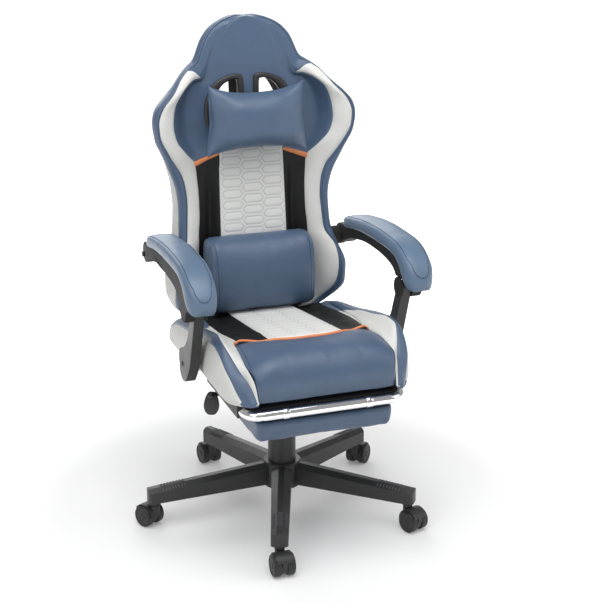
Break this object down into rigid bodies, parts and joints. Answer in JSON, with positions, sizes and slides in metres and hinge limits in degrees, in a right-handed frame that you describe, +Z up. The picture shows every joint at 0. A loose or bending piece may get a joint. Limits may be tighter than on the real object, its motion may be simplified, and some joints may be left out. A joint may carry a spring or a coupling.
{
  "type": "gaming chair",
  "caption": "Reclining swivel gaming chair with bucket back, bolstered seat, linked padded armrests, neck and lumbar cushions, pull-out footrest, gas lift and star base on casters",
  "frame": {"origin": "on the floor, on the axis of the column", "axes": "+Z up; +X to the sitter's left; -Y the way the sitter faces"},
  "size_m": [0.7161, 0.7461, 1.245],
  "materials": {
    "nylon_black": "fine satin moulded nylon",
    "nylon_grey": "satin dark grey nylon",
    "steel_black": "black powder coat",
    "steel_plain": "plain bright steel",
    "chrome": "polished chrome plate",
    "board_black": "plain black board",
    "webbing_black": "woven elastic band",
    "fabric_blue": "slate blue seat fabric with a soft sheen, sewn panels",
    "fabric_white": "off-white seat fabric, sewn panels"
  },
  "bodies": {
    "base": {"star_base": "nylon_black", "column_cover_lower": "nylon_black", "gas_outer_tube": "steel_black", "thrust_bearing": "steel_plain"},
    "spindle": {"piston_rod": "steel_plain"},
    "lift": {"gas_cylinder": "steel_plain", "tension_spring": "steel_plain", "tilt_shaft": "steel_black", "mechanism_housing": "steel_black", "column_cover_upper": "nylon_black"},
    "valve": {"valve_button": "nylon_black"},
    "knob": {"tension_knob": "nylon_black"},
    "lever_slide": {"lever_bush": "nylon_black"},
    "lever": {"height_lever": "steel_black", "lever_paddle": "nylon_grey"},
    "seat": {"seat_plate": "steel_black", "seat_frame": "steel_black", "link_mounts": "steel_black", "footrest_sleeves": "steel_black", "seat_cushion": "fabric_blue", "seat_bolster_left": "fabric_white", "seat_bolster_right": "fabric_white", "recliner_shaft": "steel_plain"},
    "footrest": {"footrest_tube": "chrome"},
    "foot_pad": {"footrest_board": "board_black", "footrest_pad": "fabric_blue"},
    "back": {"recliner_plates": "steel_black", "back_frame": "steel_black", "back_cushion": "fabric_blue", "harness_bezel_left": "nylon_black", "harness_bezel_right": "nylon_black"},
    "lumbar": {"lumbar_cushion": "fabric_blue"},
    "headrest": {"headrest_pillow": "fabric_blue", "headrest_strap": "webbing_black"},
    "release": {"recline_lever": "steel_black"},
    "arm_left": {"arm_pad_left": "fabric_blue", "arm_bracket_left": "nylon_black", "arm_pin_left": "nylon_black"},
    "link_left": {"arm_link_left": "nylon_black"},
    "arm_right": {"arm_pad_right": "fabric_blue", "arm_bracket_right": "nylon_black", "arm_pin_right": "nylon_black"},
    "link_right": {"arm_link_right": "nylon_black"},
    "caster_1": {"caster_hood_1": "nylon_black", "caster_pins_1": "steel_plain"},
    "wheels_1": {"caster_wheels_1": "nylon_black"},
    "caster_2": {"caster_hood_2": "nylon_black", "caster_pins_2": "steel_plain"},
    "wheels_2": {"caster_wheels_2": "nylon_black"},
    "caster_3": {"caster_hood_3": "nylon_black", "caster_pins_3": "steel_plain"},
    "wheels_3": {"caster_wheels_3": "nylon_black"},
    "caster_4": {"caster_hood_4": "nylon_black", "caster_pins_4": "steel_plain"},
    "wheels_4": {"caster_wheels_4": "nylon_black"},
    "caster_5": {"caster_hood_5": "nylon_black", "caster_pins_5": "steel_plain"},
    "wheels_5": {"caster_wheels_5": "nylon_black"}
  },
  "joints": [
    {"name": "seat_swivel", "type": "hinge", "parent": "base", "child": "spindle", "pos_m": [0, 0, 0.07], "axis": [0, 0, 1], "continuous": true},
    {"name": "lift_slide", "type": "slide", "parent": "spindle", "child": "lift", "axis": [0, 0, 1], "range_m": [-0.03, 0.05]},
    {"name": "rock_tilt", "type": "hinge", "parent": "lift", "child": "seat", "pos_m": [0, -0.04, 0.378], "axis": [-1, 0, 0], "range_deg": [0, 12], "stiffness_Nm_per_rad": 70, "springref_deg": -40.11},
    {"name": "knob_turn", "type": "hinge", "parent": "lift", "child": "knob", "pos_m": [0, -0.07, 0.31], "axis": [0, 0, 1], "continuous": true},
    {"name": "lever_lock", "type": "slide", "parent": "lift", "child": "lever_slide", "axis": [-1, 0, 0], "range_m": [0, 0.008]},
    {"name": "lever_lift", "type": "hinge", "parent": "lever_slide", "child": "lever", "pos_m": [-0.072, 0, 0.3668], "axis": [0, 1, 0], "range_deg": [0, 3], "stiffness_Nm_per_rad": 2, "springref_deg": -8.59},
    {"name": "valve_press", "type": "slide", "parent": "lift", "child": "valve", "axis": [0, 0, -1], "range_m": [0, 0.0038]},
    {"name": "footrest_slide", "type": "slide", "parent": "seat", "child": "footrest", "axis": [0, -1, 0], "range_m": [0, 0.17]},
    {"name": "footrest_flip", "type": "hinge", "parent": "footrest", "child": "foot_pad", "pos_m": [0, -0.332, 0.415], "axis": [-1, 0, 0], "range_deg": [0, 180]},
    {"name": "recline", "type": "hinge", "parent": "seat", "child": "back", "pos_m": [0, 0.225, 0.44], "axis": [-1, 0, 0], "range_deg": [0, 40]},
    {"name": "release_lever", "type": "hinge", "parent": "seat", "child": "release", "pos_m": [0.237, 0.225, 0.44], "axis": [-1, 0, 0], "range_deg": [0, 25], "stiffness_Nm_per_rad": 1.5, "springref_deg": -17.19},
    {"name": "headrest_height", "type": "slide", "parent": "back", "child": "headrest", "axis": [0, 0.0896, 0.996], "range_m": [-0.003, 0.03]},
    {"name": "lumbar_height", "type": "slide", "parent": "back", "child": "lumbar", "axis": [0, 0.0896, 0.996], "range_m": [0, 0.04]},
    {"name": "arm_turn_left", "type": "hinge", "parent": "back", "child": "arm_left", "pos_m": [0.277, 0.244, 0.655], "axis": [-1, 0, 0], "range_deg": [-30, 0]},
    {"name": "link_turn_left", "type": "hinge", "parent": "seat", "child": "link_left", "pos_m": [0.2625, -0.062, 0.463], "axis": [-1, 0, 0], "range_deg": [0, 44]},
    {"name": "arm_turn_right", "type": "hinge", "parent": "back", "child": "arm_right", "pos_m": [-0.277, 0.244, 0.655], "axis": [-1, 0, 0], "range_deg": [-30, 0]},
    {"name": "link_turn_right", "type": "hinge", "parent": "seat", "child": "link_right", "pos_m": [-0.2625, -0.062, 0.463], "axis": [-1, 0, 0], "range_deg": [0, 44]},
    {"name": "caster_swivel_1", "type": "hinge", "parent": "base", "child": "caster_1", "pos_m": [-0.1156, -0.31762, 0.07], "axis": [0, 0, 1], "continuous": true},
    {"name": "wheel_roll_1", "type": "hinge", "parent": "caster_1", "child": "wheels_1", "pos_m": [-0.11637, -0.3396, 0.028], "axis": [0.9994, -0.0349, 0], "continuous": true},
    {"name": "caster_swivel_2", "type": "hinge", "parent": "base", "child": "caster_2", "pos_m": [0.26635, -0.20809, 0.07], "axis": [0, 0, 1], "continuous": true},
    {"name": "wheel_roll_2", "type": "hinge", "parent": "caster_2", "child": "wheels_2", "pos_m": [0.27387, -0.22877, 0.028], "axis": [0.9397, 0.342, 0], "continuous": true},
    {"name": "caster_swivel_3", "type": "hinge", "parent": "base", "child": "caster_3", "pos_m": [0.28021, 0.18901, 0.07], "axis": [0, 0, 1], "continuous": true},
    {"name": "wheel_roll_3", "type": "hinge", "parent": "caster_3", "child": "wheels_3", "pos_m": [0.2955, 0.20483, 0.028], "axis": [-0.7193, 0.6947, 0], "continuous": true},
    {"name": "caster_swivel_4", "type": "hinge", "parent": "base", "child": "caster_4", "pos_m": [-0.09316, 0.32491, 0.07], "axis": [0, 0, 1], "continuous": true},
    {"name": "wheel_roll_4", "type": "hinge", "parent": "caster_4", "child": "wheels_4", "pos_m": [-0.09623, 0.34669, 0.028], "axis": [-0.9903, -0.1392, 0], "continuous": true},
    {"name": "caster_swivel_5", "type": "hinge", "parent": "base", "child": "caster_5", "pos_m": [-0.33779, 0.0118, 0.07], "axis": [0, 0, 1], "continuous": true},
    {"name": "wheel_roll_5", "type": "hinge", "parent": "caster_5", "child": "wheels_5", "pos_m": [-0.34812, 0.03122, 0.028], "axis": [-0.8829, -0.4695, 0], "continuous": true}
  ],
  "couplings": [
    {"joint": "valve_press", "follows": "lever_lift", "m_per_rad": 0.072},
    {"joint": "arm_turn_left", "follows": "recline", "ratio": -0.688},
    {"joint": "link_turn_left", "follows": "recline", "ratio": 1.069},
    {"joint": "arm_turn_right", "follows": "recline", "ratio": -0.688},
    {"joint": "link_turn_right", "follows": "recline", "ratio": 1.069}
  ]
}
